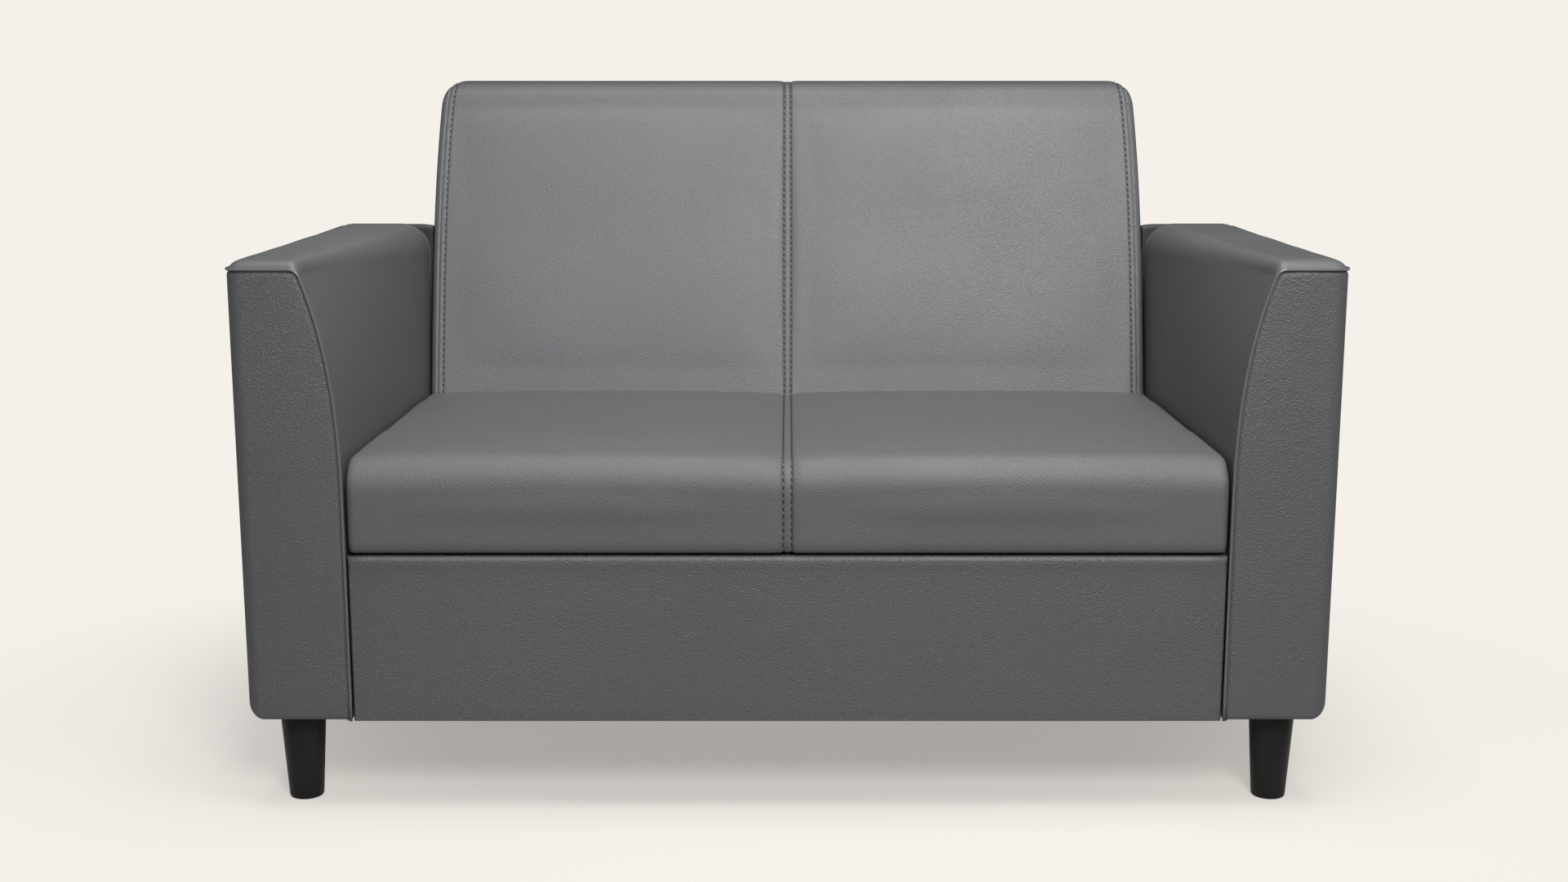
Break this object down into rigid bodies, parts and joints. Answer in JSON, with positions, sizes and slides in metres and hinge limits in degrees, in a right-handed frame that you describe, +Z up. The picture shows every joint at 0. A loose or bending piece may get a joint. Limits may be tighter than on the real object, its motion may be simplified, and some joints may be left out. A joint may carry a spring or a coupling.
{
  "type": "two-seater sofa",
  "caption": "Fixed two-seater sofa on turned legs: sprung seat cushion, reclined back and carved-front piped arms over a timber frame",
  "frame": {"origin": "on the floor, under the middle of the sofa's overall box", "axes": "+X along the sofa's width, to the right of someone who faces it; +Y to the rear; +Z up"},
  "size_m": [1.3162, 0.769, 0.875],
  "materials": {
    "leather_grey": "fine pebbled grain, low sheen",
    "timber": "sawn and planed, unfinished",
    "hardboard": "smooth hardboard",
    "foam": "open-cell foam",
    "felt": "needled felt",
    "steel": "drawn wire and pressed plate",
    "webbing": "woven elastic webbing",
    "dust_cloth": "non-woven cloth",
    "leg_black": "satin black"
  },
  "bodies": {
    "root": {"apron_cover": "leather_grey", "apron_foam": "foam", "arm_bottom_rail_left": "timber", "arm_bottom_rail_right": "timber", "arm_foam_left": "foam", "arm_foam_right": "foam", "arm_front_board_left": "timber", "arm_front_board_right": "timber", "arm_inner_board_left": "hardboard", "arm_inner_board_right": "hardboard", "arm_inner_cover_left": "leather_grey", "arm_inner_cover_right": "leather_grey", "arm_outer_board_left": "hardboard", "arm_outer_board_right": "hardboard", "arm_outer_cover_left": "leather_grey", "arm_outer_cover_right": "leather_grey", "arm_piping_left": "leather_grey", "arm_piping_right": "leather_grey", "arm_rear_board_left": "timber", "arm_rear_board_right": "timber", "arm_top_rail_left": "timber", "arm_top_rail_right": "timber", "back_cover": "leather_grey", "back_foam": "foam", "back_lower_rail": "timber", "back_post_left": "timber", "back_post_right": "timber", "back_rear_panel": "leather_grey", "back_top_rail": "timber", "back_web_1": "webbing", "back_web_2": "webbing", "back_web_3": "webbing", "base_centre_rail": "timber", "base_front_rail": "timber", "base_rear_cover": "leather_grey", "base_rear_rail": "timber", "base_side_rail_left": "timber", "base_side_rail_right": "timber", "base_spring_rail": "timber", "deck_pad": "felt", "dust_cover": "dust_cloth", "leg_front_left": "leg_black", "leg_front_right": "leg_black", "leg_plate_front_left": "steel", "leg_plate_front_right": "steel", "leg_plate_rear_left": "steel", "leg_plate_rear_right": "steel", "leg_rear_left": "leg_black", "leg_rear_right": "leg_black", "seat_cover": "leather_grey", "seat_foam": "foam", "seat_spring_1": "steel", "seat_spring_2": "steel", "seat_spring_3": "steel", "seat_spring_4": "steel", "seat_spring_5": "steel", "seat_spring_6": "steel", "seat_spring_7": "steel"}
  },
  "joints": []
}
